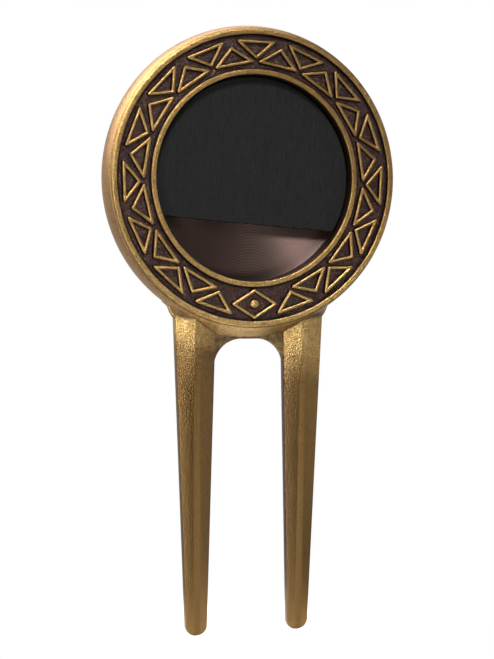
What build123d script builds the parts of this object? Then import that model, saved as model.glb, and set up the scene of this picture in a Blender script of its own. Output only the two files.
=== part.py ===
from build123d import *
import math
import os

# Golf divot repair tool: one die-cast body (a round head over two tapered prongs) with a
# ball-marker pocket in the front of the head, and a D-shaped magnetic pad stuck in that pocket.
# Frame: the prong tips stand on Z = 0, +Z runs up the tool to the head, -Y is the front,
# and the origin is midway between the tips in the middle of the thickness. Millimetres.

# ---------------------------------------------------------------- driving dimensions
HEAD_CENTRE_Z = 57.8
HEAD_RADIUS = 19.1
HEAD_THICKNESS = 4.8
WALL_EDGE_RADIUS = 18.72
RIM_OUTER_RADIUS = 18.58
RIM_INNER_RADIUS = 17.88
BEAD_OUTER_RADIUS = 13.55
POCKET_RADIUS = 12.9
POCKET_DEPTH = 2.8
MARKER_SEAT_DEPTH = 1.3
BAND_DEPTH = 0.55
PRONG_TIP_INNER = 5.42
PRONG_TIP_OUTER = 8.11
PRONG_ROOT_INNER = 4.45
PRONG_ROOT_OUTER = 9.85
PRONG_ROOT_Z = 41.0
PRONG_SETBACK = 0.39
ARCH_TOP_Z = 37.6
PAD_THICKNESS = 1.4
FILM_THICKNESS = 0.08

# ---------------------------------------------------------------- details that follow from them
FRONT = -HEAD_THICKNESS / 2
BACK = HEAD_THICKNESS / 2
BAND_FLOOR = FRONT + BAND_DEPTH
POCKET_FLOOR = FRONT + POCKET_DEPTH
POCKET_WALL_DRAFT = 0.04
SEAT_MARGIN = 0.05
WALL_CREASE = 0.36
CREASE_STEP = 0.08
EDGE_ROUND = 0.1
WALL_DRAFT = 0.04
BACK_GROOVE_OUTER = 17.3
BACK_GROOVE_INNER = 16.7
BACK_GROOVE_DEPTH = 0.25

TRIANGLE_PITCH = 23.06
OUTER_TRIANGLES_EACH_SIDE = 7
INNER_TRIANGLES_EACH_SIDE = 7
OUTER_BASE_RADIUS = 17.1
OUTER_APEX_RADIUS = 15.0
OUTER_HALF_ANGLE = 7.8
INNER_BASE_RADIUS = 14.5
INNER_APEX_RADIUS = 16.3
INNER_HALF_ANGLE = 9.25
LINE_WIDTH = 0.48
LINE_SHORTFALL = 0.05
LINE_HEIGHT = BAND_DEPTH - LINE_SHORTFALL
LINE_TAPER = 14
LINE_SINK = 0.1

ORNAMENT_RADIUS = 15.72
ORNAMENT_HALF_WIDTH = 2.75
ORNAMENT_HALF_HEIGHT = 1.7
ORNAMENT_BOSS_RADIUS = 0.55

PRONG_TIP_ROUND = 1.3
ARCH_ROUND = 3.55
GAP_RUN_OUT = 1.0
SHOULDER_ROUND = 3.4
SHOULDER_SINK = 0.05
WEB_HALF_THICKNESS = 0.38
WEB_FOOT_Z = 33.5
WEB_HOLE_RADIUS = 14.55
COLLAR_INNER_RADIUS = 18.3
COLLAR_FOOT_RADIUS = 19.95
COLLAR_HALF_THICKNESS = 1.85
COLLAR_BEND = 1.3
COLLAR_TOP_Z = 42.0
PRONG_EDGE_BEVEL = 0.12
NOSE_LENGTH = 2.4
NOSE_TIP_HALF_THICKNESS = 0.3
NOSE_HALF_THICKNESS = 0.8
NOSE_FULLNESS = 0.6
# height up the prong, half thickness of its side wall, height of its ridge, half width of the crest
PRONG_SECTIONS = [
    (-0.5, 0.45, 0.28, 0.20),
    (12.0, 0.48, 0.42, 0.18),
    (24.0, 0.52, 0.52, 0.17),
    (33.0, 0.57, 0.66, 0.13),
    (42.5, 0.62, 1.10, 0.06),
]

UPRIGHT = Plane(origin=(0, 0, 0), x_dir=(1, 0, 0), z_dir=(0, -1, 0))

PAD_RADIUS = 12.68
PAD_CHORD_DROP = 5.7
PAD_TURN = -4.6
FILM_INSET = 0.4


def head_plane(y):
    """Plane facing the front at depth y, with the head's centre as its origin and +Z up."""
    return Plane(origin=(0, y, HEAD_CENTRE_Z), x_dir=(1, 0, 0), z_dir=(0, -1, 0))


def polar(radius, angle_from_top):
    """Point at a radius and a clockwise angle from the top of the head, seen from the front."""
    a = math.radians(angle_from_top)
    return (radius * math.sin(a), radius * math.cos(a))


def round_corners(profile, corners, radius):
    """Round the listed corners of a flat profile."""
    picked = []
    for corner in corners:
        picked.append(min(profile.vertices(), key=lambda v: (Vector(v) - Vector(corner)).length))
    return fillet(picked, radius)


# ---------------------------------------------------------------- the head
def make_head():
    """Turned shape of the head: pocket, bead, sunk band, rim, bulging side wall and flat back."""
    z = HEAD_CENTRE_Z
    rim_foot = FRONT + WALL_CREASE
    wall_end = -rim_foot - CREASE_STEP
    seat = FRONT + MARKER_SEAT_DEPTH - SEAT_MARGIN
    rim_crest = RIM_OUTER_RADIUS - WALL_DRAFT
    points = [
        (0, POCKET_FLOOR, z),
        (POCKET_RADIUS - POCKET_WALL_DRAFT, POCKET_FLOOR, z),
        (POCKET_RADIUS, seat, z),
        (POCKET_RADIUS, FRONT, z),
        (BEAD_OUTER_RADIUS - WALL_DRAFT, FRONT, z),
        (BEAD_OUTER_RADIUS + WALL_DRAFT, BAND_FLOOR, z),
        (RIM_INNER_RADIUS - WALL_DRAFT, BAND_FLOOR, z),
        (RIM_INNER_RADIUS + WALL_DRAFT, FRONT, z),
        (rim_crest, FRONT, z),
        (RIM_OUTER_RADIUS, rim_foot, z),
        (WALL_EDGE_RADIUS, -wall_end, z),
    ]
    front_line = Polyline(*points)
    wall = ThreePointArc(
        (WALL_EDGE_RADIUS, -wall_end, z),
        (HEAD_RADIUS, 0, z),
        (WALL_EDGE_RADIUS, wall_end, z),
    )
    back_line = Polyline(
        (WALL_EDGE_RADIUS, wall_end, z),
        (RIM_OUTER_RADIUS, -rim_foot, z),
        (rim_crest, BACK, z),
        (BACK_GROOVE_OUTER, BACK, z),
        (BACK_GROOVE_OUTER - BACK_GROOVE_DEPTH / 2, BACK - BACK_GROOVE_DEPTH, z),
        (BACK_GROOVE_INNER + BACK_GROOVE_DEPTH / 2, BACK - BACK_GROOVE_DEPTH, z),
        (BACK_GROOVE_INNER, BACK, z),
        (0, BACK, z),
        (0, POCKET_FLOOR, z),
    )
    profile = make_face(Wire([*front_line.edges(), *wall.edges(), *back_line.edges()]))
    crests = [points[3], points[4], points[7], points[8]]
    profile = round_corners(profile, crests, EDGE_ROUND)
    return revolve(profile, Axis((0, 0, z), (0, 1, 0)), 360)


# ---------------------------------------------------------------- raised ornament in the band
def raised_outline(corners):
    """A closed raised line along the polygon, wider at its foot, standing on the band's floor."""
    path = Polygon(*corners, align=None)
    outer = offset(path, LINE_WIDTH / 2, kind=Kind.ARC)
    inner = offset(path, -LINE_WIDTH / 2, kind=Kind.INTERSECTION)
    foot = head_plane(BAND_FLOOR + LINE_SINK) * (outer - inner)
    line = extrude(foot, LINE_HEIGHT + LINE_SINK, taper=LINE_TAPER)
    return line


def outer_triangle(angle):
    """Triangle with its base along the rim and its point towards the pocket."""
    return [
        polar(OUTER_BASE_RADIUS, angle + OUTER_HALF_ANGLE),
        polar(OUTER_BASE_RADIUS, angle - OUTER_HALF_ANGLE),
        polar(OUTER_APEX_RADIUS, angle),
    ]


def inner_triangle(angle):
    """Triangle with its base along the pocket's bead and its point towards the rim."""
    return [
        polar(INNER_BASE_RADIUS, angle - INNER_HALF_ANGLE),
        polar(INNER_BASE_RADIUS, angle + INNER_HALF_ANGLE),
        polar(INNER_APEX_RADIUS, angle),
    ]


def make_triangles():
    """The ring of triangles that point outward and inward in turn, the same on both sides."""
    shapes = [outer_triangle(0)]
    for side in (-1, 1):
        for step in range(1, OUTER_TRIANGLES_EACH_SIDE + 1):
            shapes.append(outer_triangle(side * step * TRIANGLE_PITCH))
        for step in range(INNER_TRIANGLES_EACH_SIDE):
            shapes.append(inner_triangle(side * (step + 0.5) * TRIANGLE_PITCH))
    return [raised_outline(corners) for corners in shapes]


def make_lozenge():
    """Plain lozenge with a round boss, at the bottom of the band."""
    corners = [
        (-ORNAMENT_HALF_WIDTH, -ORNAMENT_RADIUS),
        (0, -ORNAMENT_RADIUS - ORNAMENT_HALF_HEIGHT),
        (ORNAMENT_HALF_WIDTH, -ORNAMENT_RADIUS),
        (0, -ORNAMENT_RADIUS + ORNAMENT_HALF_HEIGHT),
    ]
    disc = Pos(0, -ORNAMENT_RADIUS) * Circle(ORNAMENT_BOSS_RADIUS)
    boss = extrude(head_plane(BAND_FLOOR + LINE_SINK) * disc, LINE_HEIGHT + LINE_SINK, taper=LINE_TAPER)
    return [raised_outline(corners), boss]


# ---------------------------------------------------------------- prongs and web
def prong_edges(z):
    """Inner and outer distance of a prong's sides from the middle line, at height z."""
    t = z / PRONG_ROOT_Z
    inner = PRONG_TIP_INNER + (PRONG_ROOT_INNER - PRONG_TIP_INNER) * t
    outer = PRONG_TIP_OUTER + (PRONG_ROOT_OUTER - PRONG_TIP_OUTER) * t
    return inner, outer


def arch_gap():
    """Open space between the prongs, rounded at its top and running out below the tips."""
    inner_low = prong_edges(0)[0]
    inner_top = prong_edges(ARCH_TOP_Z)[0]
    top_corners = [(inner_top, ARCH_TOP_Z), (-inner_top, ARCH_TOP_Z)]
    gap = Polygon((-inner_low, -GAP_RUN_OUT), (inner_low, -GAP_RUN_OUT), *top_corners, align=None)
    return round_corners(gap, top_corners, ARCH_ROUND)


def tool_outline():
    """Front outline of the whole casting: head, prongs with rounded tips, arch and shoulders."""
    inner_low, outer_low = prong_edges(0)
    outer_high = prong_edges(HEAD_CENTRE_Z)[1]
    legs = Polygon(
        (-outer_low, 0),
        (outer_low, 0),
        (outer_high, HEAD_CENTRE_Z),
        (-outer_high, HEAD_CENTRE_Z),
        align=None,
    )
    disc = Pos(0, HEAD_CENTRE_Z) * Circle(HEAD_RADIUS - SHOULDER_SINK)
    outline = legs + disc - arch_gap()
    tips = [(-outer_low, 0), (-inner_low, 0), (inner_low, 0), (outer_low, 0)]
    outline = round_corners(outline, tips, PRONG_TIP_ROUND)
    drop = math.sqrt((HEAD_RADIUS - SHOULDER_SINK) ** 2 - PRONG_ROOT_OUTER**2)
    shoulders = [(-PRONG_ROOT_OUTER, HEAD_CENTRE_Z - drop), (PRONG_ROOT_OUTER, HEAD_CENTRE_Z - drop)]
    outline = round_corners(outline, shoulders, SHOULDER_ROUND)
    return outline


def prong_section(z, half_wall, ridge, crest):
    """Cross-section of the right prong: two flat sides and a blunt ridge front and back."""
    inner, outer = prong_edges(z)
    middle = (inner + outer) / 2
    b = PRONG_EDGE_BEVEL
    front = [
        (inner, -(half_wall - b)),
        (inner + b, -half_wall),
        (middle - crest, -(half_wall + ridge)),
        (middle + crest, -(half_wall + ridge)),
        (outer - b, -half_wall),
        (outer, -(half_wall - b)),
    ]
    back = [(x, -y) for x, y in reversed(front)]
    return Plane.XY.offset(z) * Polygon(*front, *back, align=None)


def make_nose_trim():
    """Block that rounds the prong tips in the side view."""
    mid = NOSE_LENGTH / 4
    mid_half = NOSE_TIP_HALF_THICKNESS + NOSE_FULLNESS * (NOSE_HALF_THICKNESS - NOSE_TIP_HALF_THICKNESS)
    right = ThreePointArc((NOSE_TIP_HALF_THICKNESS, 0), (mid_half, mid), (NOSE_HALF_THICKNESS, NOSE_LENGTH))
    left = ThreePointArc((-NOSE_HALF_THICKNESS, NOSE_LENGTH), (-mid_half, mid), (-NOSE_TIP_HALF_THICKNESS, 0))
    over = Polyline(
        (NOSE_HALF_THICKNESS, NOSE_LENGTH),
        (BACK, NOSE_LENGTH),
        (BACK, HEAD_CENTRE_Z),
        (FRONT, HEAD_CENTRE_Z),
        (FRONT, NOSE_LENGTH),
        (-NOSE_HALF_THICKNESS, NOSE_LENGTH),
    )
    foot = Line((-NOSE_TIP_HALF_THICKNESS, 0), (NOSE_TIP_HALF_THICKNESS, 0))
    side = make_face(Wire([*right.edges(), *over.edges(), *left.edges(), *foot.edges()]))
    return extrude(Plane.YZ * side, HEAD_RADIUS, both=True)


def make_prong(outline):
    """Right prong: lofted ridged bar with its tip rounded in both views, a little behind the head's middle."""
    bar = loft([prong_section(*row) for row in PRONG_SECTIONS])
    trim = extrude(UPRIGHT * outline, HEAD_THICKNESS / 2, both=True)
    return Pos(0, PRONG_SETBACK, 0) * (bar & trim & make_nose_trim())


def make_web(outline):
    """Thin web under the head, with the arch and the shoulders, set back from the prongs."""
    height = HEAD_CENTRE_Z - WEB_FOOT_Z
    under_head = Pos(0, WEB_FOOT_Z + height / 2) * Rectangle(2 * HEAD_RADIUS, height)
    hole = Pos(0, HEAD_CENTRE_Z) * Circle(WEB_HOLE_RADIUS)
    web = extrude(UPRIGHT * (outline & under_head - hole), WEB_HALF_THICKNESS, both=True)
    return Pos(0, PRONG_SETBACK, 0) * web


def make_collar(outline):
    """Flare that carries the head's side wall down into the web, between and beside the prongs."""
    z = HEAD_CENTRE_Z
    foot = WEB_HALF_THICKNESS + PRONG_SETBACK
    side = Polyline(
        (COLLAR_INNER_RADIUS, -COLLAR_HALF_THICKNESS, z),
        (WALL_EDGE_RADIUS, -COLLAR_HALF_THICKNESS, z),
        (HEAD_RADIUS, -COLLAR_BEND, z),
        (COLLAR_FOOT_RADIUS, 0, z),
        (COLLAR_FOOT_RADIUS, foot, z),
        (HEAD_RADIUS, COLLAR_BEND, z),
        (WALL_EDGE_RADIUS, COLLAR_HALF_THICKNESS, z),
        (COLLAR_INNER_RADIUS, COLLAR_HALF_THICKNESS, z),
        close=True,
    )
    ring = revolve(make_face(side), Axis((0, 0, z), (0, 1, 0)), 360)
    height = COLLAR_TOP_Z - WEB_FOOT_Z
    neck = Pos(0, WEB_FOOT_Z + height / 2) * Rectangle(2 * HEAD_RADIUS, height)
    return ring & extrude(UPRIGHT * (outline & neck), HEAD_THICKNESS / 2, both=True)


def make_tool_body():
    outline = tool_outline()
    prong = make_prong(outline)
    body = make_head() + make_web(outline) + make_collar(outline) + prong + mirror(prong, Plane.YZ)
    for line in make_triangles() + make_lozenge():
        body = body + line
    return body


# ---------------------------------------------------------------- the insert in the pocket
def pad_shape(radius, drop):
    """Disc with its lower part cut off along a slightly tilted straight edge."""
    disc = Circle(radius)
    keep = Pos(0, radius - drop) * Rectangle(2 * radius, 2 * radius)
    return Rot(0, 0, PAD_TURN) * (disc & keep)


def make_magnet_pad():
    foot = FRONT + MARKER_SEAT_DEPTH + PAD_THICKNESS
    return extrude(head_plane(foot) * pad_shape(PAD_RADIUS, PAD_CHORD_DROP), PAD_THICKNESS)


def make_adhesive_film():
    top = FRONT + MARKER_SEAT_DEPTH + PAD_THICKNESS
    shape = pad_shape(PAD_RADIUS - FILM_INSET, PAD_CHORD_DROP - FILM_INSET)
    return extrude(head_plane(top + FILM_THICKNESS) * shape, FILM_THICKNESS)


os.makedirs("parts", exist_ok=True)
export_step(make_tool_body(), "parts/tool_body.step")
export_step(make_magnet_pad(), "parts/magnet_pad.step")
export_step(make_adhesive_film(), "parts/adhesive_film.step")
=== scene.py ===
import math

import bpy
import numpy as np
from mathutils import Matrix, Vector


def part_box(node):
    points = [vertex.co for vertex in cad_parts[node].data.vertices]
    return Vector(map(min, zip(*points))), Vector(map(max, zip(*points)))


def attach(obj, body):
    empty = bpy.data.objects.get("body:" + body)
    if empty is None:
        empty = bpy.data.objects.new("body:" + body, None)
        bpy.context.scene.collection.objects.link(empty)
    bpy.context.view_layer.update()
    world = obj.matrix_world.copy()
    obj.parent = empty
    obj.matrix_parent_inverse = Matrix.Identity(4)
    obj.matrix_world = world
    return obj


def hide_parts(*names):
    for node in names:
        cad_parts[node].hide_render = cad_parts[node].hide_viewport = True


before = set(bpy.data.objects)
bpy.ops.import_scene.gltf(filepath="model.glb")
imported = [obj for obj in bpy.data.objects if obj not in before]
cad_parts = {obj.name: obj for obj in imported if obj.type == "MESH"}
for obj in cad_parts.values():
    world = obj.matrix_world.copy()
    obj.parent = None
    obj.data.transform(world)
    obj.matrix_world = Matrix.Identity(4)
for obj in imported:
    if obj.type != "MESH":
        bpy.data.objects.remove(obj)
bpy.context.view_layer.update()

# Golf divot repair tool: one brass casting (round head, web and two prongs) and a stuck-in magnetic pad.
# Lengths below are in millimetres, in the frame's axes: the tips stand on Z = 0 and -Y is the front.
MM = 0.001

# ---------------------------------------------------------------- sizes taken from the frame
BODY_LOW, BODY_HIGH = (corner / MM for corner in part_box("tool_body"))
PAD_LOW, PAD_HIGH = (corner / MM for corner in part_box("magnet_pad"))
FILM_LOW, FILM_HIGH = (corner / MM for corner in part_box("adhesive_film"))
FRONT = BODY_LOW.y
BACK = BODY_HIGH.y
HEAD_RADIUS = (BODY_HIGH.x - BODY_LOW.x) / 2
HEAD_Z = BODY_HIGH.z - HEAD_RADIUS
PAD_TOP = PAD_LOW.y
PAD_FOOT = PAD_HIGH.y
POCKET_FLOOR = FILM_HIGH.y

# ---------------------------------------------------------------- driving sizes of the head
POCKET_RADIUS = 12.9
POCKET_FOOT_RADIUS = 12.86
BEAD_OUTER = 13.55
RIM_INNER = 17.88
RIM_OUTER = 18.58
RIM_DRAFT = 0.03
WALL_EDGE = 18.72
WALL_STEPS = 15
BAND_DEPTH = 0.55
BAND_FLOOR = FRONT + BAND_DEPTH
BAND_DRAFT = 0.06
WALL_CREASE = 0.36
CREASE_STEP = 0.08
EDGE_ROUND = 0.13
RIM_ROUND = 0.22
FOOT_ROUND = 0.1
GROOVE_OUTER = 17.3
GROOVE_INNER = 16.7
GROOVE_DEPTH = 0.25
HEAD_SEGMENTS = 480
PROFILE_STEP = 0.6
TURNING_PITCH = 0.19

# ---------------------------------------------------------------- raised ornament in the band
TRIANGLE_PITCH = 23.06
TRIANGLES_EACH_SIDE = 7
OUTER_BASE, OUTER_APEX, OUTER_HALF_ANGLE = 17.1, 15.0, 7.8
INNER_BASE, INNER_APEX, INNER_HALF_ANGLE = 14.5, 16.3, 9.25
LINE_HEIGHT = 0.5
LINE_SINK = 0.12
SMALLEST_ROUND = 0.04
# half of the raised line's cross-section: distance from its middle and share of its height
LINE_SECTION = [(0.29, 0.0), (0.255, 0.25), (0.22, 0.58), (0.17, 0.84), (0.11, 0.95), (0.05, 1.0)]
LOZENGE_RADIUS = 15.72
LOZENGE_HALF_WIDTH = 2.75
LOZENGE_HALF_HEIGHT = 1.7
BOSS_RADIUS = 0.6
BOSS_FLARE = 0.08
BOSS_SIDE = 0.2
BOSS_SEGMENTS = 32

# ---------------------------------------------------------------- prongs, arch and shoulders
PRONG_TIP_INNER, PRONG_TIP_OUTER = 5.42, 8.11
PRONG_ROOT_INNER, PRONG_ROOT_OUTER = 4.45, 9.85
PRONG_ROOT_Z = 41.0
PRONG_SLOPE = (PRONG_ROOT_INNER - PRONG_TIP_INNER) / PRONG_ROOT_Z
PRONG_TOP_Z = 41.6
PRONG_ROW_START = 0.4
PRONG_ROW_STEP = 0.5
PRONG_EDGE_ROUND = 0.14
TIP_ROUND = 1.3
TIP_FIRST_ANGLE = 8
TIP_ROWS = 14
TIP_THINNING = 0.8
TIP_LEAST_HALF_WIDTH = 0.1
# height up the prong, half thickness of its side wall, height of the ridge over it
PRONG_HEIGHTS = [
    (0, 0.45, 0.28), (12, 0.48, 0.42), (24, 0.52, 0.52), (33, 0.57, 0.66),
    (36, 0.59, 0.75), (38.5, 0.6, 0.90), (40.5, 0.61, 1.10), (42.5, 0.62, 1.34),
]
CREST_HALF_WIDTH = 0.3
CREST_SHARE = 0.3
# radius that rounds both edges of the ridge's crest, at heights up the prong
CREST_HEIGHTS = (8, 30, 36, 40)
CREST_ROUNDS = (0.9, 1.4, 1.2, 0.8)
# middle line of the crest: distance from the tool's middle at the tip, and how it leans outward
CREST_MIDDLE = 6.765
CREST_LEAN = 0.0094
PRONG_SETBACK = 0.39
ARCH_TOP_Z = 37.6
ARCH_ROUND = 3.55
ARCH_FOOT_Z = 33.2
ARCH_ROOT_DEPTH = 2.2
ARCH_STEP = 0.3
WEB_HALF_THICKNESS = 0.38
WEB_EDGE_ROUND = 0.14
SHOULDER_ROUND = 3.4
SHOULDER_RUN = 6
SHOULDER_ROOT_IN = 1.5
SHOULDER_ROOT_UP = 1.0
COLLAR_ROOT = 18.3
COLLAR_FOOT = 19.95
COLLAR_HALF_THICKNESS = 1.85
COLLAR_BEND = 1.3
COLLAR_BEND_ROUND = 0.5
COLLAR_FOOT_ROUND = 0.2
COLLAR_LIP = 0.03
COLLAR_LIP_REACH = 0.25
COLLAR_FADE = 27
COLLAR_REACH = 35
COLLAR_TUCK = 0.4
COLLAR_SECTIONS = 141

# ---------------------------------------------------------------- magnetic pad and its film
PAD_RADIUS = 12.68
PAD_CHORD_DROP = 5.7
PAD_TURN = -4.6
PAD_EDGE_ROUND = 0.12
PAD_ROUGHNESS = 0.035
PAD_ARC_SHARE = 0.5
PAD_ARC_STEPS = 240
PAD_CHORD_STEPS = 60
PAD_SEED = 5
FILM_INSET = 0.4
FILM_EDGE_ROUND = 0.02


# ---------------------------------------------------------------- small geometry helpers
def turned_to(vector, length):
    """The vector's direction at the given length."""
    return vector / np.linalg.norm(vector) * length


def corner_arc(before, corner, after, radius, steps):
    """Points of the arc that rounds one corner of a flat line."""
    back, ahead = turned_to(before - corner, 1), turned_to(after - corner, 1)
    half = math.acos(max(-1.0, min(1.0, float(back @ ahead)))) / 2
    reach = radius / math.tan(half)
    centre = corner + turned_to(back + ahead, radius / math.sin(half))
    first, last = corner + back * reach - centre, corner + ahead * reach - centre
    sweep = math.pi - 2 * half
    points = []
    for step in range(steps + 1):
        t = step / steps
        mixed = (math.sin((1 - t) * sweep) * first + math.sin(t * sweep) * last) / math.sin(sweep)
        points.append(centre + mixed)
    return points


def rounded(corners, steps=4, closed=False, longest=None):
    """A flat line of (a, b, radius) corners as points, with its corners rounded and its long runs divided."""
    flat = [np.array(corner[:2], float) for corner in corners]
    count = len(flat)
    points = []
    for i, corner in enumerate(corners):
        at_end = not closed and i in (0, count - 1)
        if at_end or corner[2] == 0:
            points.append(flat[i])
        else:
            points += corner_arc(flat[i - 1], flat[i], flat[(i + 1) % count], corner[2], steps)
    if longest is None:
        return np.array(points)
    divided = [points[0]]
    for a, b in zip(points, points[1:]):
        parts = max(1, math.ceil(np.linalg.norm(b - a) / longest))
        divided += [a + (b - a) * part / parts for part in range(1, parts + 1)]
    return np.array(divided)


def mesh_object(name, points, faces):
    """A mesh object from points in millimetres."""
    mesh = bpy.data.meshes.new(name)
    mesh.from_pydata((np.asarray(points) * MM).tolist(), [], faces)
    mesh.validate()
    piece = bpy.data.objects.new(name, mesh)
    bpy.context.scene.collection.objects.link(piece)
    return piece


def grid_faces(rows, columns, wrap_rows=False, wrap_columns=False):
    """Quads between neighbouring points of a grid stored row by row."""
    faces = []
    for i in range(rows if wrap_rows else rows - 1):
        for j in range(columns if wrap_columns else columns - 1):
            i2, j2 = (i + 1) % rows, (j + 1) % columns
            faces.append((i * columns + j, i * columns + j2, i2 * columns + j2, i2 * columns + j))
    return faces


def capped_loft(name, loops):
    """Closed solid through loops of equal length, with a flat face on the first and the last loop."""
    count = len(loops[0])
    faces = grid_faces(len(loops), count, wrap_columns=True)
    faces.append(tuple(range(count - 1, -1, -1)))
    last = (len(loops) - 1) * count
    faces.append(tuple(range(last, last + count)))
    return mesh_object(name, np.concatenate([np.array(loop) for loop in loops]), faces)


def lathe(name, profile, segments):
    """Closed turned solid about the head's axis, from (radius, y) points that start and end on the axis."""
    turn = np.linspace(0, 2 * math.pi, segments, endpoint=False)
    inner = profile[1:-1]
    ring = [
        np.stack([r * np.sin(turn), np.full(segments, y), HEAD_Z + r * np.cos(turn)], axis=1)
        for r, y in inner
    ]
    points = np.concatenate(ring + [[(0, profile[0][1], HEAD_Z), (0, profile[-1][1], HEAD_Z)]])
    faces = grid_faces(len(inner), segments, wrap_columns=True)
    first_pole, last_pole = len(points) - 2, len(points) - 1
    last_ring = (len(inner) - 1) * segments
    for j in range(segments):
        j2 = (j + 1) % segments
        faces.append((first_pole, j2, j))
        faces.append((last_pole, last_ring + j, last_ring + j2))
    return mesh_object(name, points, faces)


def polar(radius, angle_from_top):
    """(right, up) from the head's centre, at a clockwise angle in degrees."""
    a = math.radians(angle_from_top)
    return np.array([radius * math.sin(a), radius * math.cos(a)])


# ---------------------------------------------------------------- the casting
def head_profile():
    """(radius, y) line of the head, from the pocket's floor over the front and the wall to the back."""
    rim_foot = FRONT + WALL_CREASE
    wall_end = -rim_foot - CREASE_STEP
    sagitta = HEAD_RADIUS - WALL_EDGE
    wall_arc = (wall_end**2 + sagitta**2) / (2 * sagitta)
    wall = [
        (HEAD_RADIUS - wall_arc + math.sqrt(wall_arc**2 - y**2), y, 0)
        for y in np.linspace(-wall_end, wall_end, WALL_STEPS)
    ]
    corners = [
        (0, POCKET_FLOOR, 0),
        (POCKET_FOOT_RADIUS, POCKET_FLOOR, FOOT_ROUND),
        (POCKET_RADIUS, PAD_TOP, 0),
        (POCKET_RADIUS, FRONT, EDGE_ROUND),
        (BEAD_OUTER, FRONT, EDGE_ROUND),
        (BEAD_OUTER + BAND_DRAFT, BAND_FLOOR, FOOT_ROUND),
        (RIM_INNER - BAND_DRAFT, BAND_FLOOR, FOOT_ROUND),
        (RIM_INNER, FRONT, EDGE_ROUND),
        (RIM_OUTER - RIM_DRAFT, FRONT, RIM_ROUND),
        (RIM_OUTER, rim_foot, 0),
        *wall,
        (RIM_OUTER, -rim_foot, 0),
        (RIM_OUTER - RIM_DRAFT, BACK, EDGE_ROUND),
        (GROOVE_OUTER, BACK, 0),
        (GROOVE_OUTER - GROOVE_DEPTH / 2, BACK - GROOVE_DEPTH, 0),
        (GROOVE_INNER + GROOVE_DEPTH / 2, BACK - GROOVE_DEPTH, 0),
        (GROOVE_INNER, BACK, 0),
        (0, BACK, 0),
    ]
    return rounded(corners, longest=PROFILE_STEP)


def line_ring(name, corners):
    """Closed raised line on the band's floor, along a polygon of (right, up) corners from the centre."""
    flat = [np.array(corner, float) for corner in corners]
    section = [(w, LINE_HEIGHT * h) for w, h in LINE_SECTION]
    section = [(LINE_SECTION[0][0], -LINE_SINK)] + section
    section += [(-w, h) for w, h in reversed(section)]
    loops = []
    for offset, height in section:
        moved = []
        for i, corner in enumerate(flat):
            back = turned_to(flat[i - 1] - corner, 1)
            ahead = turned_to(flat[(i + 1) % len(flat)] - corner, 1)
            half = math.acos(float(back @ ahead)) / 2
            out = corner - turned_to(back + ahead, offset / math.sin(half))
            moved.append((*out, max(offset, SMALLEST_ROUND)))
        outline = rounded(moved, steps=5, closed=True)
        y = np.full(len(outline), BAND_FLOOR - height)
        loops.append(np.stack([outline[:, 0], y, HEAD_Z + outline[:, 1]], axis=1))
    faces = grid_faces(len(loops), len(loops[0]), wrap_rows=True, wrap_columns=True)
    return mesh_object(name, np.concatenate(loops), faces)


def boss():
    """Low round button in the middle of the lozenge."""
    foot = BOSS_RADIUS + BOSS_FLARE
    dome = LINE_HEIGHT - BOSS_SIDE
    section = [(foot, -LINE_SINK), (foot, 0), (BOSS_RADIUS, BOSS_FLARE)]
    section += [
        (BOSS_RADIUS * math.cos(a), BOSS_SIDE + dome * math.sin(a))
        for a in np.radians(range(0, 90, 15))
    ]
    turn = np.linspace(0, 2 * math.pi, BOSS_SEGMENTS, endpoint=False)
    middle_z = HEAD_Z - LOZENGE_RADIUS
    loops = [
        np.stack(
            [r * np.cos(turn), np.full(BOSS_SEGMENTS, BAND_FLOOR - h), middle_z + r * np.sin(turn)], axis=1
        )
        for r, h in section
    ]
    return capped_loft("boss", loops)


def ornament_lines():
    """Outer and inner triangles in turn from the top down both sides, and the lozenge with its boss."""
    shapes = []

    def outer(angle):
        shapes.append([
            polar(OUTER_BASE, angle - OUTER_HALF_ANGLE),
            polar(OUTER_BASE, angle + OUTER_HALF_ANGLE),
            polar(OUTER_APEX, angle),
        ])

    def inner(angle):
        shapes.append([
            polar(INNER_BASE, angle - INNER_HALF_ANGLE),
            polar(INNER_BASE, angle + INNER_HALF_ANGLE),
            polar(INNER_APEX, angle),
        ])

    outer(0)
    for side in (-1, 1):
        for step in range(TRIANGLES_EACH_SIDE):
            outer(side * (step + 1) * TRIANGLE_PITCH)
            inner(side * (step + 0.5) * TRIANGLE_PITCH)
    shapes.append([
        (-LOZENGE_HALF_WIDTH, -LOZENGE_RADIUS),
        (0, -LOZENGE_RADIUS - LOZENGE_HALF_HEIGHT),
        (LOZENGE_HALF_WIDTH, -LOZENGE_RADIUS),
        (0, -LOZENGE_RADIUS + LOZENGE_HALF_HEIGHT),
    ])
    return [line_ring(f"line_{i}", corners) for i, corners in enumerate(shapes)] + [boss()]


def prong_edges(z):
    """Inner and outer distance of a prong's sides from the middle line, at height z."""
    t = z / PRONG_ROOT_Z
    inner = PRONG_TIP_INNER + (PRONG_ROOT_INNER - PRONG_TIP_INNER) * t
    outer = PRONG_TIP_OUTER + (PRONG_ROOT_OUTER - PRONG_TIP_OUTER) * t
    return inner, outer


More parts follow.
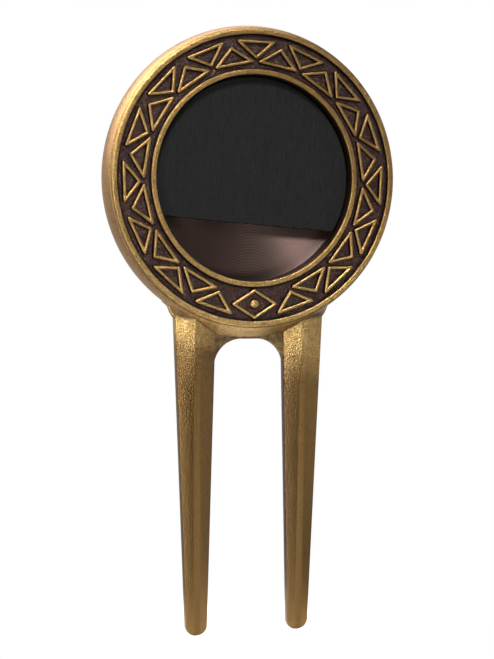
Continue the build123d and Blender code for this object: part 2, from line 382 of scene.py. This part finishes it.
def prong(name, side):
    """One ridged tapering prong with a rounded tip, on the given side."""
    table = np.array(PRONG_HEIGHTS, float)
    tip = TIP_ROUND * (1 - np.cos(np.radians(np.linspace(TIP_FIRST_ANGLE, 90, TIP_ROWS))))
    straight = np.arange(TIP_ROUND + PRONG_ROW_START, PRONG_TOP_Z, PRONG_ROW_STEP)
    loops = []
    for z in np.concatenate([tip, straight, [PRONG_TOP_Z]]):
        inner, outer = prong_edges(z)
        middle, half_width = (inner + outer) / 2, (outer - inner) / 2
        wall = np.interp(z, table[:, 0], table[:, 1])
        ridge = np.interp(z, table[:, 0], table[:, 2])
        lost = max(0.0, 1 - z / TIP_ROUND)
        narrow = math.sqrt(1 - lost**2)
        thin = narrow**TIP_THINNING
        half_width = max(TIP_LEAST_HALF_WIDTH, half_width - TIP_ROUND * (1 - narrow))
        wall, ridge = wall * thin, ridge * thin
        crest = min(CREST_HALF_WIDTH, half_width * CREST_SHARE)
        edge = PRONG_EDGE_ROUND * thin
        soft = np.interp(z, CREST_HEIGHTS, CREST_ROUNDS) * thin
        front = [
            (middle - half_width, -wall, edge),
            (middle - crest, -(wall + ridge), soft),
            (middle + crest, -(wall + ridge), soft),
            (middle + half_width, -wall, edge),
        ]
        back = [(x, -y, r) for x, y, r in reversed(front)]
        outline = rounded(front + back, steps=4, closed=True)
        y = outline[:, 1] + PRONG_SETBACK
        loops.append(np.stack([side * outline[:, 0], y, np.full(len(outline), z)], axis=1))
    return capped_loft(name, loops)


def plate(name, edge, root):
    """Flat plate with a rounded free edge: the edge's points and, for each, a point of the plate's root."""
    flat = WEB_HALF_THICKNESS
    section = [
        (WEB_EDGE_ROUND * (1 - math.sin(a)), (flat - WEB_EDGE_ROUND) + WEB_EDGE_ROUND * math.cos(a))
        for a in np.radians(np.linspace(0, 90, 6))
    ]
    section = [(inset, -y) for inset, y in section] + [(inset, y) for inset, y in reversed(section)]
    loops = []
    for tip, foot in zip(edge, root):
        inward = turned_to(foot - tip, 1)
        loop = [(foot[0], PRONG_SETBACK - flat, foot[1])]
        for inset, y in section:
            x, z = tip + inward * inset
            loop.append((x, PRONG_SETBACK + y, z))
        loop.append((foot[0], PRONG_SETBACK + flat, foot[1]))
        loops.append(loop)
    return capped_loft(name, loops)


def arch_plate():
    """Web between the prongs, with the round-cornered arch as its free edge."""
    inner_foot, _ = prong_edges(ARCH_FOOT_Z)
    inner_top, _ = prong_edges(ARCH_TOP_Z)
    line = rounded([
        (-inner_foot, ARCH_FOOT_Z, 0),
        (-inner_top, ARCH_TOP_Z, ARCH_ROUND),
        (inner_top, ARCH_TOP_Z, ARCH_ROUND),
        (inner_foot, ARCH_FOOT_Z, 0),
    ], steps=20, longest=ARCH_STEP)
    centre = np.array([0, ARCH_TOP_Z - ARCH_ROUND])
    root = [point + turned_to(point - centre, ARCH_ROOT_DEPTH) for point in line]
    return plate("arch", line, root)


def shoulder_plate(name, side):
    """Fillet plate between a prong's outer side and the head."""
    _, outer_low = prong_edges(ARCH_FOOT_Z)
    drop = math.sqrt(HEAD_RADIUS**2 - PRONG_ROOT_OUTER**2)
    corner = (PRONG_ROOT_OUTER, HEAD_Z - drop)
    tangent = turned_to(np.array([drop, PRONG_ROOT_OUTER]), SHOULDER_RUN)
    far = np.array(corner) + tangent
    line = rounded([(outer_low, ARCH_FOOT_Z, 0), (*corner, SHOULDER_ROUND), (*far, 0)], steps=16)[1:-1]
    root = np.array([side * (PRONG_ROOT_OUTER - SHOULDER_ROOT_IN), HEAD_Z - drop + SHOULDER_ROOT_UP])
    line = [np.array([side * x, z]) for x, z in line]
    return plate(name, line, [root] * len(line))


def collar():
    """Flare that carries the head's side wall down into the web, between and beside the prongs."""
    reach = COLLAR_FOOT - COLLAR_ROOT
    foot = PRONG_SETBACK - WEB_HALF_THICKNESS
    front = rounded([
        (0, -COLLAR_HALF_THICKNESS, 0),
        (WALL_EDGE - COLLAR_ROOT, -COLLAR_HALF_THICKNESS, 0),
        (HEAD_RADIUS - COLLAR_ROOT, -COLLAR_BEND, COLLAR_BEND_ROUND),
        (reach, foot - COLLAR_LIP, COLLAR_FOOT_ROUND),
        (reach + COLLAR_LIP_REACH, foot + COLLAR_LIP, 0),
    ], steps=6)
    back = [
        (r, 2 * PRONG_SETBACK * max(0, 1 - abs(y) / COLLAR_HALF_THICKNESS) - y)
        for r, y in reversed(front)
    ]
    section = [*map(tuple, front), *back]
    loops = []
    for angle in np.radians(np.linspace(-COLLAR_REACH, COLLAR_REACH, COLLAR_SECTIONS)):
        share = max(0.0, abs(math.degrees(angle)) - COLLAR_FADE) / (COLLAR_REACH - COLLAR_FADE)
        kept = 1 - share**2 * (COLLAR_FOOT - HEAD_RADIUS + COLLAR_TUCK) / reach
        loop = [(COLLAR_ROOT + r * kept, y) for r, y in section]
        loops.append([(r * math.sin(angle), y, HEAD_Z - r * math.cos(angle)) for r, y in loop])
    return capped_loft("collar", loops)


def fix_normals(piece):
    """Turns all of a closed mesh's faces outward."""
    bpy.context.view_layer.objects.active = piece
    bpy.ops.object.select_all(action="DESELECT")
    piece.select_set(True)
    bpy.ops.object.mode_set(mode="EDIT")
    bpy.ops.mesh.select_all(action="SELECT")
    bpy.ops.mesh.normals_make_consistent(inside=False)
    bpy.ops.object.mode_set(mode="OBJECT")


def joined(parts, name):
    """The parts as one object, not united."""
    for part in parts:
        fix_normals(part)
    bpy.ops.object.select_all(action="DESELECT")
    for part in parts:
        part.select_set(True)
    bpy.context.view_layer.objects.active = parts[0]
    bpy.ops.object.join()
    parts[0].name = name
    return parts[0]


def united(base, tools):
    """Adds the tools to the base as one closed solid."""
    for tool in tools:
        fix_normals(tool)
        modifier = base.modifiers.new("union", "BOOLEAN")
        modifier.operation = "UNION"
        modifier.solver = "MANIFOLD"
        modifier.object = tool
        bpy.context.view_layer.objects.active = base
        bpy.ops.object.modifier_apply(modifier=modifier.name)
        bpy.data.objects.remove(tool)


def make_casting():
    """Head, ornament, prongs, web, shoulders and collar as one closed solid."""
    head = lathe("brass_casting", head_profile(), HEAD_SEGMENTS)
    fix_normals(head)
    tools = [joined(ornament_lines(), "ornament")]
    tools += [prong("prong_left", -1), prong("prong_right", 1)]
    tools += [arch_plate(), shoulder_plate("shoulder_left", -1), shoulder_plate("shoulder_right", 1)]
    tools += [collar()]
    united(head, tools)
    return head


# ---------------------------------------------------------------- the pad and its film
def cut_disc(name, radius, drop, front, back, edge, roughness):
    """Round sheet with its lower part cut off along a slightly turned chord; its edge is faintly uneven."""
    rng = np.random.default_rng(PAD_SEED)
    reach = math.acos(-drop / radius)
    arc = np.linspace(-reach, reach, PAD_ARC_STEPS)
    outline = [np.array([radius * math.sin(a), radius * math.cos(a)]) for a in arc]
    half_chord = outline[-1][0]
    wave = rng.normal(0, 1, PAD_CHORD_STEPS)
    for i, x in enumerate(np.linspace(half_chord, -half_chord, PAD_CHORD_STEPS + 2)[1:-1]):
        outline.append(np.array([x, -drop + roughness * wave[i]]))
    outline = np.array(outline)
    ragged = np.abs(rng.normal(0, PAD_ARC_SHARE, len(outline)))
    outline = outline * (1 - roughness * ragged[:, None] / radius)
    turn = math.radians(PAD_TURN)
    outline = outline @ np.array([[math.cos(turn), math.sin(turn)], [-math.sin(turn), math.cos(turn)]])
    section = [(0, back), (0, front + edge)]
    section += [
        (edge * (1 - math.cos(a)), front + edge * (1 - math.sin(a)))
        for a in np.radians([30, 60, 90])
    ]
    loops = []
    for inset, y in section:
        shrunk = outline * (1 - inset / radius)
        loops.append(np.stack([shrunk[:, 0], np.full(len(shrunk), y), HEAD_Z + shrunk[:, 1]], axis=1))
    piece = capped_loft(name, loops)
    fix_normals(piece)
    return piece


# ---------------------------------------------------------------- camera
CAMERA_YAW, CAMERA_PITCH, CAMERA_ROLL = 18.79, 3.045, 0.353
CAMERA_PLACE = (-0.0737, -0.2158, 0.0509)
CAMERA_LENS = 98.55
SENSOR_WIDTH = 36
NEAREST_SEEN = 0.01


def make_camera():
    """Long lens to the left of the tool and above its middle, aimed slightly down. Its place is in metres."""
    yaw, pitch, roll = (math.radians(a) for a in (CAMERA_YAW, CAMERA_PITCH, CAMERA_ROLL))
    ahead = Vector((math.sin(yaw) * math.cos(pitch), math.cos(yaw) * math.cos(pitch), -math.sin(pitch)))
    right = Vector((math.cos(yaw), -math.sin(yaw), 0))
    up = right.cross(ahead)
    side = right * math.cos(roll) + up * math.sin(roll)
    top = up * math.cos(roll) - right * math.sin(roll)
    camera = bpy.data.objects.new("camera", bpy.data.cameras.new("camera"))
    bpy.context.scene.collection.objects.link(camera)
    turn = Matrix((side, top, -ahead)).transposed().to_4x4()
    camera.matrix_world = Matrix.Translation(CAMERA_PLACE) @ turn
    camera.data.lens = CAMERA_LENS
    camera.data.sensor_width = SENSOR_WIDTH
    camera.data.clip_start = NEAREST_SEEN
    bpy.context.scene.camera = camera


make_camera()
bpy.context.scene.view_settings.view_transform = "Standard"


# ---------------------------------------------------------------- light and surroundings
WHITE = (1, 1, 1)
WARM_WHITE = (1, 0.98, 0.95)
# name, azimuth and elevation in degrees, distance, width and height in metres, watts, colour
LIGHTS = [
    ("key", 106, 45, 0.5, (0.52, 0.5), 3.5, WARM_WHITE),
    ("spark", 14, 42, 0.5, (0.12, 0.12), 2.1, WHITE),
    ("back_left", 150, 42, 0.5, (0.2, 0.2), 0.3, WHITE),
    ("top", -160, 62, 0.5, (0.4, 0.35), 1.2, WHITE),
    ("side", 43, -12, 0.5, (0.16, 0.25), 0.88, WHITE),
    ("low_front", -24, -20, 0.5, (0.15, 0.15), 0.22, WHITE),
    ("fill_right", -62, 8, 0.6, (0.22, 0.5), 0.36, WHITE),
]
# the surroundings go from dim to bright between these directions, -1 being the front and 1 the back
DIM_END, BRIGHT_END = -0.45, 0.9
DIM_STRENGTH, BRIGHT_STRENGTH = 0.08, 0.5


def area_light(name, place, size, power, colour):
    """Soft rectangular light that faces the middle of the head."""
    data = bpy.data.lights.new(name, "AREA")
    data.shape = "RECTANGLE"
    data.size, data.size_y = size
    data.energy = power
    data.color = colour
    light = bpy.data.objects.new(name, data)
    bpy.context.scene.collection.objects.link(light)
    light.location = place
    aim = Vector((0, 0, HEAD_Z * MM)) - light.location
    light.rotation_euler = aim.to_track_quat("-Z", "Y").to_euler()
    light.visible_camera = False


def around(azimuth, elevation, distance):
    """Point around the head: azimuth 0 is straight in front, positive to the left."""
    a, e = math.radians(azimuth), math.radians(elevation)
    flat = distance * math.cos(e)
    return (-flat * math.sin(a), -flat * math.cos(a), HEAD_Z * MM + distance * math.sin(e))


def make_world():
    """Studio surroundings: bright behind the tool, dim in front of it, and plain white to look at."""
    world = bpy.data.worlds.new("studio")
    bpy.context.scene.world = world
    world.use_nodes = True
    tree = world.node_tree
    back = tree.nodes["Background"]
    direction = tree.nodes.new("ShaderNodeTexCoord")
    split = tree.nodes.new("ShaderNodeSeparateXYZ")
    tree.links.new(direction.outputs["Generated"], split.inputs[0])
    ramp = tree.nodes.new("ShaderNodeMapRange")
    ramp.interpolation_type = "SMOOTHSTEP"
    ramp.inputs["From Min"].default_value = DIM_END
    ramp.inputs["From Max"].default_value = BRIGHT_END
    ramp.inputs["To Min"].default_value = DIM_STRENGTH
    ramp.inputs["To Max"].default_value = BRIGHT_STRENGTH
    tree.links.new(split.outputs["Y"], ramp.inputs["Value"])
    tree.links.new(ramp.outputs["Result"], back.inputs["Strength"])
    plain = tree.nodes.new("ShaderNodeBackground")
    plain.inputs["Strength"].default_value = 1.0
    back.inputs["Color"].default_value = (1, 1, 1, 1)
    plain.inputs["Color"].default_value = (1, 1, 1, 1)
    path = tree.nodes.new("ShaderNodeLightPath")
    mix = tree.nodes.new("ShaderNodeMixShader")
    tree.links.new(path.outputs["Is Camera Ray"], mix.inputs[0])
    tree.links.new(back.outputs[0], mix.inputs[1])
    tree.links.new(plain.outputs[0], mix.inputs[2])
    tree.links.new(mix.outputs[0], tree.nodes["World Output"].inputs["Surface"])


make_world()
for light_name, azimuth, elevation, distance, size, power, colour in LIGHTS:
    area_light(light_name, around(azimuth, elevation, distance), size, power, colour)


# ---------------------------------------------------------------- materials
def srgb(red, green, blue):
    """Shader colour from the usual 0 to 255 values."""
    def linear(value):
        c = value / 255
        return c / 12.92 if c <= 0.04045 else ((c + 0.055) / 1.055) ** 2.4
    return (linear(red), linear(green), linear(blue), 1)


# buffed metal, with painted highlight and painted shade tints
GOLD_DULL, GOLD_BRIGHT = srgb(200, 160, 98), srgb(220, 180, 112)
BROWN_DULL, BROWN_BRIGHT = srgb(142, 112, 70), srgb(156, 122, 76)
# painted highlight: brighter gold low on the head
LOW_HEAD_PAINTED_HIGHLIGHT = srgb(246, 206, 134)
# painted shade: darker gold on the head's upper right
UPPER_RIGHT_PAINTED_SHADE = srgb(160, 126, 78)
MOTTLE_BROWN = srgb(146, 110, 72)
TIP_BROWN = srgb(118, 93, 57)
# painted shade on the left prong's outer facet
OUTER_LEFT_PAINTED_SHADE = srgb(104, 80, 47)
WALL_ROSE = srgb(206, 158, 118)
GRAIN_BROWN = srgb(116, 88, 50)
# patina, and painted shade on the lines' flanks and in the band's corners
PATINA_DARK, PATINA_LIGHT = srgb(72, 56, 60), srgb(98, 77, 72)
PATINA_SPECK = srgb(160, 128, 90)
PATINA_AND_PAINTED_SHADE = srgb(24, 16, 18)
# marker pocket, with painted shade at the top of its wall
POCKET_DARK, POCKET_LIGHT = srgb(76, 61, 58), srgb(88, 71, 66)
TURNING_CREST = srgb(176, 148, 136)
POCKET_WALL_PAINTED_SHADE, POCKET_WALL_FOOT = srgb(34, 28, 27), srgb(98, 82, 80)
# pad and film
PAD_DARK, PAD_LIGHT = srgb(12, 12, 12), srgb(36, 36, 36)
FILM_DARK, FILM_LIGHT = srgb(212, 208, 198), srgb(226, 223, 214)


class Surface:
    """A node material with short calls for the nodes it uses. Values are sockets or plain numbers."""

    def __init__(self, name):
        self.material = bpy.data.materials.new(name)
        self.material.use_nodes = True
        self.tree = self.material.node_tree
        self.shader = self.tree.nodes["Principled BSDF"]
        self.place = self.node("ShaderNodeTexCoord").outputs["Object"]

    def node(self, kind, **settings):
        node = self.tree.nodes.new(kind)
        for name, value in settings.items():
            setattr(node, name, value)
        return node

    def put(self, socket, value):
        """Links a socket's value, or sets a plain one."""
        if isinstance(value, bpy.types.NodeSocket):
            self.tree.links.new(value, socket)
        else:
            socket.default_value = value

    def math(self, operation, a, b=0.0, c=0.0, clamp=False):
        node = self.node("ShaderNodeMath", operation=operation, use_clamp=clamp)
        for socket, value in zip(node.inputs, (a, b, c)):
            self.put(socket, value)
        return node.outputs[0]

    def times(self, value, *others):
        """Product of all the values."""
        for other in others:
            value = self.math("MULTIPLY", value, other)
        return value

    def most(self, value, *others):
        """Largest of the values."""
        for other in others:
            value = self.math("MAXIMUM", value, other)
        return value

    def plus(self, a, b):
        return self.math("ADD", a, b)

    def minus(self, a, b):
        return self.math("SUBTRACT", a, b)

    def scaled(self, value, factor, shift, clamp=False):
        """value * factor + shift"""
        return self.math("MULTIPLY_ADD", value, factor, shift, clamp)

    def size(self, value):
        """The value without its sign."""
        return self.math("ABSOLUTE", value)

    def ramp(self, value, low, high, to_low=0.0, to_high=1.0):
        """Smooth step from to_low to to_high as value goes from low to high."""
        node = self.node("ShaderNodeMapRange", interpolation_type="SMOOTHSTEP")
        names = ("Value", "From Min", "From Max", "To Min", "To Max")
        for name, given in zip(names, (value, low, high, to_low, to_high)):
            self.put(node.inputs[name], given)
        return node.outputs["Result"]

    def mix(self, share, a, b):
        """Colour a turning into colour b as share goes from 0 to 1."""
        node = self.node("ShaderNodeMix", data_type="RGBA")
        self.put(node.inputs["Factor"], share)
        self.put(node.inputs["A"], a)
        self.put(node.inputs["B"], b)
        return node.outputs["Result"]

    def stretched(self, scale):
        """The place with its three axes scaled."""
        node = self.node("ShaderNodeVectorMath", operation="MULTIPLY")
        self.put(node.inputs[0], self.place)
        node.inputs[1].default_value = scale
        return node.outputs["Vector"]

    def noise(self, scale, detail=3.0, roughness=0.55, stretch=None):
        """Noise of about 1 / scale millimetres across, from 0 to 1."""
        node = self.node("ShaderNodeTexNoise")
        self.put(node.inputs["Vector"], self.stretched(stretch) if stretch else self.place)
        node.inputs["Scale"].default_value = scale / MM
        node.inputs["Detail"].default_value = detail
        node.inputs["Roughness"].default_value = roughness
        return node.outputs["Fac"]

    def bump(self, height, strength, distance, under=None):
        """Normal bent by a height, on top of another normal if one is given."""
        node = self.node("ShaderNodeBump")
        node.inputs["Strength"].default_value = strength
        node.inputs["Distance"].default_value = distance * MM
        self.put(node.inputs["Height"], height)
        if under is not None:
            self.put(node.inputs["Normal"], under)
        return node.outputs["Normal"]

    def millimetres(self):
        """x, y, z, height over the head's centre and distance from the head's axis, all in millimetres."""
        split = self.node("ShaderNodeSeparateXYZ")
        self.put(split.inputs[0], self.stretched((1 / MM, 1 / MM, 1 / MM)))
        x, y, z = split.outputs
        up = self.minus(z, HEAD_Z)
        radius = self.math("SQRT", self.plus(self.times(x, x), self.times(up, up)))
        return x, y, z, up, radius


class Brass(Surface):
    """Antique brass: buffed gold on what stands proud, brown-violet patina and painted shade in what lies
    deep.
    """

    def __init__(self):
        super().__init__("antique_brass")
        self.x, self.y, self.z, self.up, self.radius = self.millimetres()
        self.off_middle = self.size(self.x)
        self.grain = self.noise(6.5, 2.0)
        self.cloud = self.noise(0.35, 4.0)
        self.patches = self.noise(1.4, 4.0)
        # depth under the front, wavy so that the worn tops end unevenly
        self.depth = self.plus(self.minus(self.y, FRONT), self.scaled(self.patches, 0.12, -0.06))
        self.turning = self.math("SINE", self.times(self.radius, 2 * math.pi / TURNING_PITCH))

    def band_mask(self):
        """Sunk band: patina on its floor and up the sides of the raised lines, worn off their tops."""
        past_bead = self.ramp(self.radius, BEAD_OUTER - 0.05, BEAD_OUTER + 0.02)
        inside_rim = self.ramp(self.radius, RIM_INNER + 0.05, RIM_INNER - 0.02)
        in_front = self.ramp(self.y, FRONT + 1.2, FRONT + 1.0)
        sunk = self.ramp(self.depth, 0.12, 0.30)
        return self.times(past_bead, inside_rim, in_front, sunk)

    def pocket_mask(self):
        """Floor and wall of the marker pocket."""
        inside = self.ramp(self.radius, POCKET_RADIUS + 0.03, POCKET_RADIUS - 0.01)
        under_edge = self.ramp(self.y, FRONT + 0.25, FRONT + 0.5)
        over_back = self.ramp(self.y, POCKET_FLOOR + 0.3, POCKET_FLOOR + 0.1)
        return self.times(inside, under_edge, over_back)

    def crease_mask(self):
        """Patina line in the crease between the rim and the side wall, with painted shade that makes it
        strongest low on the left.
        """
        off_crease = self.size(self.minus(self.size(self.y), -FRONT - WALL_CREASE))
        outside = self.ramp(self.radius, RIM_OUTER - 0.1, RIM_OUTER)
        near_crease = self.ramp(off_crease, 0.26, 0.02)
        # painted shade: the crease is darker low on the left
        painted_shade_lower_left = self.ramp(self.plus(self.times(self.x, 0.6), self.up), 6, -18, 0.04, 0.7)
        return self.times(near_crease, outside, painted_shade_lower_left, self.ramp(self.patches, 0.3, 0.6, 0.5, 1.0))

    def neck_mask(self):
        """Patina where prongs and web meet the head; patina mixed with painted shade on the web, under the
        head and on the prongs' inner sides.
        """
        below = self.ramp(self.z, HEAD_Z - 15, HEAD_Z - 16)
        collar_share = self.scaled(self.y, 1 / COLLAR_BEND, 1.0, clamp=True)
        collar_radius = self.scaled(collar_share, COLLAR_FOOT - HEAD_RADIUS, HEAD_RADIUS)
        from_wall = self.plus(self.minus(self.radius, collar_radius), self.scaled(self.patches, 0.5, -0.25))
        junction = self.times(
            self.ramp(from_wall, -0.2, 0.0, 0.0, 0.6), self.ramp(from_wall, 0.34, 0.0), below,
            self.ramp(self.off_middle, 4.0, 4.7),
        )
        # painted shade mixed with patina: the prongs' inner sides, the web and the head's underside are made
        # darker
        inner_side = self.minus(self.off_middle, self.scaled(self.z, PRONG_SLOPE, PRONG_TIP_INNER))
        inner_wall = self.times(
            self.ramp(inner_side, 0.16, 0.05), self.ramp(self.z, 2, 12, 0.2, 0.8), self.ramp(self.z, 36.5, 35)
        )
        web = self.times(
            self.ramp(self.off_middle, 4.75, 4.5), self.ramp(self.z, ARCH_FOOT_Z, ARCH_FOOT_Z + 1),
            self.ramp(self.radius, COLLAR_FOOT - 0.15, COLLAR_FOOT),
            self.ramp(self.patches, 0.2, 0.7, 0.9, 0.45),
        )
        # painted shade under the head, between the prongs
        painted_shade_under_head = self.times(
            self.ramp(self.off_middle, 7, 3),
            self.ramp(self.radius, HEAD_RADIUS - 0.4, HEAD_RADIUS + 0.2, 0.0, 0.4), below,
        )
        return self.most(junction, web, painted_shade_under_head, inner_wall)

    def metal_colour(self):
        """Buffed gold on the head and, partly as painted highlight, on the prong tops; browner down the
        prongs; painted highlight low on the head; painted shade on its upper right and on the left prong's
        outer facet.
        """
        gold = self.mix(self.cloud, GOLD_DULL, GOLD_BRIGHT)
        brown = self.mix(self.cloud, BROWN_DULL, BROWN_BRIGHT)
        # the gold at the prong tops is partly a buffed tone and partly a painted highlight, set to reach
        # lower on the right prong than on the left
        drift = self.plus(self.scaled(self.cloud, 6, -3), self.times(self.x, 0.2))
        down = self.ramp(self.plus(self.z, drift), 38.5, 33)
        metal = self.mix(down, gold, brown)
        # painted highlight: the lower part of the head is made brighter gold
        painted_highlight_low_on_head = self.ramp(self.up, -7, -16, 0.0, 0.75)
        metal = self.mix(painted_highlight_low_on_head, metal, self.mix(down, LOW_HEAD_PAINTED_HIGHLIGHT, brown))
        # painted shade: the head's upper right is made a darker gold
        painted_shade_upper_right = self.ramp(self.scaled(self.x, 0.8, self.up), 4, 14, 0.0, 0.6)
        metal = self.mix(painted_shade_upper_right, metal, UPPER_RIGHT_PAINTED_SHADE)
        mottle = self.ramp(self.noise(1.1, 5.0, 0.65), 0.48, 0.7)
        metal = self.mix(self.times(mottle, 0.4), metal, MOTTLE_BROWN)
        metal = self.mix(self.ramp(self.z, 20, 3, 0.0, 0.8), metal, TIP_BROWN)
        # painted shade: the left prong's outer facet is made darker brown
        painted_shade_outer_left = self.times(self.ramp(self.x, -6.4, -7.8, 0.0, 0.55), self.ramp(self.z, 36, 31))
        metal = self.mix(painted_shade_outer_left, metal, OUTER_LEFT_PAINTED_SHADE)
        past_rim = self.ramp(self.radius, RIM_OUTER + 0.04, WALL_EDGE + 0.1)
        on_wall = self.times(past_rim, self.ramp(self.z, 40, 44))
        metal = self.mix(self.times(on_wall, 0.55), metal, WALL_ROSE)
        return self.mix(self.times(self.ramp(self.grain, 0.42, 0.62), 0.5), metal, GRAIN_BROWN)

    def patina_colour(self, band):
        """Patina of the band: specked with bare metal on its open floor, darkest on the lines' flanks and in
        its corners, where patina and painted shade are mixed.
        """
        patina = self.mix(self.ramp(self.patches, 0.3, 0.7), PATINA_DARK, PATINA_LIGHT)
        open_floor = self.times(self.ramp(self.noise(0.9, 3.0), 0.5, 0.66), band)
        speck = self.times(self.ramp(self.noise(5.0, 2.0), 0.5, 0.68), self.scaled(open_floor, 0.6, 0.22))
        patina = self.mix(speck, patina, PATINA_SPECK)
        # painted shade mixed with patina: near black on the raised lines' flanks and in the band's corners
        # next to the rim and the bead
        flank = self.times(self.ramp(self.depth, BAND_DEPTH - 0.01, BAND_DEPTH - 0.07), band)
        rim_corner = self.ramp(self.radius, RIM_INNER - 0.42, RIM_INNER - 0.12)
        bead_corner = self.ramp(self.radius, BEAD_OUTER + 0.42, BEAD_OUTER + 0.12)
        corner = self.times(self.most(rim_corner, bead_corner), 0.8, band)
        return self.mix(self.most(flank, corner), patina, PATINA_AND_PAINTED_SHADE)

    def pocket_colour(self):
        """Turned floor with paler crests, and a wall with painted shade that darkens towards its top."""
        colour = self.mix(self.cloud, POCKET_DARK, POCKET_LIGHT)
        colour = self.mix(self.scaled(self.turning, 0.24, 0.24), colour, TURNING_CREST)
        # painted shade: the pocket's wall is made near black at its top, next to the pad
        wall = self.mix(self.ramp(self.y, PAD_TOP, PAD_FOOT), POCKET_WALL_PAINTED_SHADE, POCKET_WALL_FOOT)
        on_wall = self.ramp(self.radius, POCKET_FOOT_RADIUS - 0.09, POCKET_FOOT_RADIUS - 0.03)
        return self.mix(on_wall, colour, wall)

    def roughness(self, dark, pocket):
        """Satin metal, glossier patina, a duller pocket and a worn crest on the prongs."""
        rough = self.minus(self.scaled(self.grain, 0.16, 0.24), self.times(dark, 0.03))
        rough = self.most(rough, self.times(pocket, 0.5))
        off_crest = self.size(self.minus(self.off_middle, self.scaled(self.z, CREST_LEAN, CREST_MIDDLE)))
        crest = self.times(self.ramp(off_crest, 0.5, 0.3), self.ramp(self.z, 35, 29))
        return self.scaled(crest, 0.3, rough)

    def normal(self, pocket):
        """Fine grain everywhere, weaker on the prongs, and turning lines on the pocket's floor."""
        height = self.plus(self.times(self.noise(6.0, 2.0), 0.9), self.times(self.noise(2.6, 2.0), 0.35))
        off_pocket = self.minus(1.0, self.times(pocket, 0.8))
        height = self.times(height, self.times(self.ramp(self.z, 30, 37, 0.45, 1.0), off_pocket))
        turned = self.times(self.turning, pocket)
        return self.bump(turned, 0.6, 0.009, self.bump(height, 0.9, 0.1))


def brass():
    s = Brass()
    band, pocket = s.band_mask(), s.pocket_mask()
    dark = s.most(band, pocket, s.crease_mask(), s.neck_mask())
    patina = s.mix(pocket, s.patina_colour(band), s.pocket_colour())
    s.put(s.shader.inputs["Base Color"], s.mix(dark, s.metal_colour(), patina))
    s.shader.inputs["Metallic"].default_value = 1.0
    s.put(s.shader.inputs["Roughness"], s.roughness(dark, pocket))
    # the pocket's turning lines stretch its gloss outward from the head's axis
    outward = s.node("ShaderNodeCombineXYZ")
    s.put(outward.inputs[0], s.x)
    s.put(outward.inputs[2], s.up)
    s.put(s.shader.inputs["Tangent"], outward.outputs[0])
    s.put(s.shader.inputs["Anisotropic"], s.times(pocket, 0.9))
    s.put(s.shader.inputs["Normal"], s.normal(pocket))
    return s.material


def magnet_sheet():
    """Dull black sheet with faint rolled streaks."""
    s = Surface("magnet_sheet")
    streaks = s.noise(2.2, 4.0, 0.7, stretch=(6, 1, 0.35))
    fine = s.noise(9.0, 2.0)
    shade = s.ramp(s.scaled(fine, 0.6, s.times(streaks, 0.6)), 0.4, 0.8)
    s.put(s.shader.inputs["Base Color"], s.mix(shade, PAD_DARK, PAD_LIGHT))
    s.put(s.shader.inputs["Roughness"], s.scaled(fine, 0.15, 0.6))
    s.shader.inputs["Specular IOR Level"].default_value = 0.2
    s.put(s.shader.inputs["Normal"], s.bump(s.plus(streaks, s.times(fine, 0.4)), 0.8, 0.035))
    return s.material


def adhesive():
    """Milky film."""
    s = Surface("adhesive")
    s.put(s.shader.inputs["Base Color"], s.mix(s.noise(0.6, 3.0), FILM_DARK, FILM_LIGHT))
    s.put(s.shader.inputs["Roughness"], s.scaled(s.noise(3.0), 0.2, 0.4))
    return s.material


# ---------------------------------------------------------------- floor
FLOOR_RADIUS = 120
FLOOR_DROP = 0.4
FLOOR_SEGMENTS = 96
FLOOR_CLEAR, FLOOR_SOLID = 32, 12
FLOOR_GLOW = 0.2
FLOOR_DARK, FLOOR_LIGHT = (0.86, 0.86, 0.855, 1), (0.9, 0.9, 0.895, 1)


def floor():
    """Pale disc under the tips that fades out before its edge."""
    turn = np.linspace(0, 2 * math.pi, FLOOR_SEGMENTS, endpoint=False)
    height = np.full(FLOOR_SEGMENTS, -FLOOR_DROP)
    ring = np.stack([FLOOR_RADIUS * np.cos(turn), FLOOR_RADIUS * np.sin(turn), height], axis=1)
    piece = mesh_object("floor", ring, [tuple(range(FLOOR_SEGMENTS))])
    s = Surface("pale_floor")
    s.put(s.shader.inputs["Base Color"], s.mix(s.noise(0.01, 2.0), FLOOR_DARK, FLOOR_LIGHT))
    s.shader.inputs["Roughness"].default_value = 0.9
    s.shader.inputs["Specular IOR Level"].default_value = 0.1
    s.shader.inputs["Emission Color"].default_value = (1, 1, 1, 1)
    s.shader.inputs["Emission Strength"].default_value = FLOOR_GLOW
    x, y, *_ = s.millimetres()
    radius = s.math("SQRT", s.plus(s.times(x, x), s.times(y, y)))
    s.put(s.shader.inputs["Alpha"], s.ramp(radius, FLOOR_CLEAR, FLOOR_SOLID))
    piece.data.materials.append(s.material)


# ---------------------------------------------------------------- the pieces in their places
SHARP_ANGLE = 38

floor()
casting = make_casting()
casting.data.materials.clear()
casting.data.materials.append(brass())
casting.data.polygons.foreach_set("material_index", [0] * len(casting.data.polygons))
casting.data.shade_smooth()
casting.data.set_sharp_from_angle(angle=math.radians(SHARP_ANGLE))
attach(casting, "body")
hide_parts("tool_body")

pad = cut_disc("pad_sheet", PAD_RADIUS, PAD_CHORD_DROP, PAD_TOP, PAD_FOOT, PAD_EDGE_ROUND, PAD_ROUGHNESS)
pad.data.materials.append(magnet_sheet())
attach(pad, "pad_insert")
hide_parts("magnet_pad")

film_radius, film_drop = PAD_RADIUS - FILM_INSET, PAD_CHORD_DROP - FILM_INSET
film = cut_disc(
    "pad_film", film_radius, film_drop, FILM_LOW.y, FILM_HIGH.y, FILM_EDGE_ROUND, PAD_ROUGHNESS
)
film.data.materials.append(adhesive())
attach(film, "pad_insert")
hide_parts("adhesive_film")

looks = (("magnet_pad", pad), ("adhesive_film", film), ("tool_body", casting))
for node, shown in looks:
    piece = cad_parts[node]
    piece.data.materials.clear()
    piece.data.materials.append(shown.data.materials[0])
